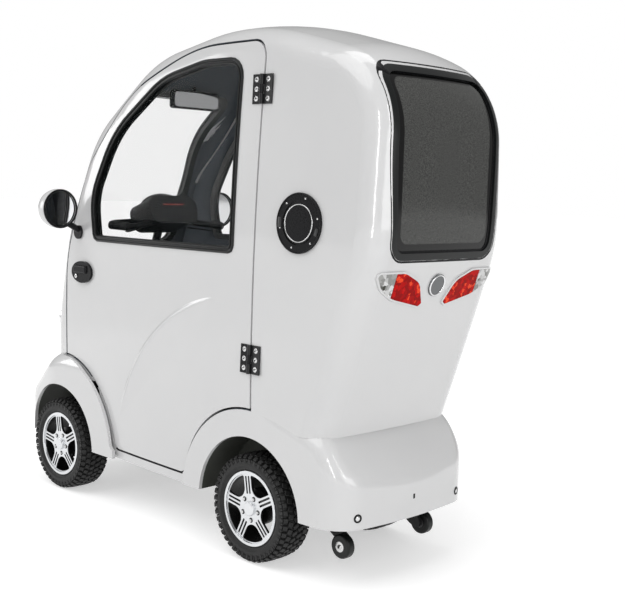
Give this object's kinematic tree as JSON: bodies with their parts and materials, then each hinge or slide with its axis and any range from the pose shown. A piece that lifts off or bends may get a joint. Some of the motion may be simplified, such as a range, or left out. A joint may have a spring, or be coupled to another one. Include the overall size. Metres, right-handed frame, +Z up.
{
  "type": "enclosed mobility scooter",
  "caption": "Enclosed single-seat mobility scooter with hinged doors, tiller steering, glazed hollow cabin and small rear anti-tip wheels.",
  "frame": {"origin": "on the floor under the middle of the vehicle's box", "axes": "+Z up, -Y forwards to the nose, +X to the rider's left"},
  "size_m": [0.86, 1.8001, 1.6162],
  "materials": {
    "white_shell": "gloss white moulded panels",
    "grey_tub": "textured dark grey moulding",
    "black_plastic": "satin black plastic",
    "black_rubber": "matt black window rubber",
    "clear_glass": "clear glazing",
    "tinted_glass": "dark tinted glazing",
    "tyre_rubber": "matt black tyre rubber",
    "alloy": "machined silver alloy",
    "frame_steel": "black painted steel",
    "bright_trim": "polished trim",
    "red_lens": "red lamp lens",
    "clear_lens": "clear lamp lens",
    "amber_lens": "amber lamp lens",
    "seat_cover": "dark grey upholstery",
    "mirror_face": "mirror glass"
  },
  "bodies": {
    "root": {"cabin_shell": "white_shell", "floor_tub": "white_shell", "tail_body": "white_shell", "nose_body": "white_shell", "wheel_wells": "grey_tub", "windscreen": "clear_glass", "windscreen_seal": "black_rubber", "rear_window": "tinted_glass", "rear_window_frame": "black_rubber", "hinge_posts": "frame_steel", "tail_bezels": "white_shell", "tail_lamps": "clear_lens", "tail_lenses": "red_lens", "tail_disc": "bright_trim", "side_cap": "black_plastic", "headlamp_bezels": "bright_trim", "headlamp_lenses": "clear_lens", "indicators": "amber_lens", "grille": "black_plastic", "chassis_frame": "frame_steel", "rear_frame": "frame_steel", "front_axle": "frame_steel", "rear_axle": "frame_steel", "shock_absorbers": "frame_steel", "anti_tip_arms": "frame_steel", "seat_frame": "frame_steel", "battery_pack": "black_plastic", "seat_cushion": "seat_cover", "seat_back": "seat_cover", "steering_post": "black_plastic", "room_mirror": "black_plastic"},
    "door_left": {"door_left": "white_shell", "door_glass_left": "clear_glass", "door_seal_left": "black_rubber", "door_fittings_left": "black_plastic", "mirror_shell_left": "white_shell", "mirror_glass_left": "mirror_face"},
    "knuckle_left": {"knuckle_left": "frame_steel"},
    "front_wheel_left": {"front_tyre_left": "tyre_rubber", "front_rim_left": "alloy"},
    "rear_wheel_left": {"rear_tyre_left": "tyre_rubber", "rear_rim_left": "alloy"},
    "anti_tip_wheel_left": {"anti_tip_wheel_left": "black_rubber"},
    "door_right": {"door_right": "white_shell", "door_glass_right": "clear_glass", "door_seal_right": "black_rubber", "door_fittings_right": "black_plastic", "mirror_shell_right": "white_shell", "mirror_glass_right": "mirror_face"},
    "knuckle_right": {"knuckle_right": "frame_steel"},
    "front_wheel_right": {"front_tyre_right": "tyre_rubber", "front_rim_right": "alloy"},
    "rear_wheel_right": {"rear_tyre_right": "tyre_rubber", "rear_rim_right": "alloy"},
    "anti_tip_wheel_right": {"anti_tip_wheel_right": "black_rubber"},
    "tiller": {"tiller": "black_plastic"}
  },
  "joints": [
    {"name": "door_left_hinge", "type": "hinge", "parent": "root", "child": "door_left", "pos_m": [0.30844, 0.442, 1.01275], "axis": [-0.0277, 0, 0.9996], "range_deg": [0, 70]},
    {"name": "door_right_hinge", "type": "hinge", "parent": "root", "child": "door_right", "pos_m": [-0.30844, 0.442, 1.01275], "axis": [-0.0277, 0, -0.9996], "range_deg": [0, 70]},
    {"name": "tiller_turn", "type": "hinge", "parent": "root", "child": "tiller", "pos_m": [0, -0.5905, 0.47], "axis": [0, 0.3375, 0.9413], "range_deg": [-40, 40]},
    {"name": "knuckle_left_steer", "type": "hinge", "parent": "root", "child": "knuckle_left", "pos_m": [0.166, -0.6025, 0.136], "axis": [0, 0, 1], "range_deg": [-28, 28]},
    {"name": "front_wheel_left_spin", "type": "hinge", "parent": "knuckle_left", "child": "front_wheel_left", "pos_m": [0.242, -0.6025, 0.165], "axis": [1, 0, 0], "continuous": true},
    {"name": "rear_wheel_left_spin", "type": "hinge", "parent": "root", "child": "rear_wheel_left", "pos_m": [0.242, 0.4315, 0.165], "axis": [1, 0, 0], "continuous": true},
    {"name": "anti_tip_wheel_left_spin", "type": "hinge", "parent": "root", "child": "anti_tip_wheel_left", "pos_m": [0.18, 0.7145, 0.1], "axis": [1, 0, 0], "continuous": true},
    {"name": "knuckle_right_steer", "type": "hinge", "parent": "root", "child": "knuckle_right", "pos_m": [-0.166, -0.6025, 0.136], "axis": [0, 0, 1], "range_deg": [-28, 28]},
    {"name": "front_wheel_right_spin", "type": "hinge", "parent": "knuckle_right", "child": "front_wheel_right", "pos_m": [-0.242, -0.6025, 0.165], "axis": [1, 0, 0], "continuous": true},
    {"name": "rear_wheel_right_spin", "type": "hinge", "parent": "root", "child": "rear_wheel_right", "pos_m": [-0.242, 0.4315, 0.165], "axis": [1, 0, 0], "continuous": true},
    {"name": "anti_tip_wheel_right_spin", "type": "hinge", "parent": "root", "child": "anti_tip_wheel_right", "pos_m": [-0.18, 0.7145, 0.1], "axis": [1, 0, 0], "continuous": true}
  ],
  "couplings": [
    {"joint": "knuckle_left_steer", "follows": "tiller_turn", "ratio": 0.7},
    {"joint": "knuckle_right_steer", "follows": "tiller_turn", "ratio": 0.7}
  ]
}
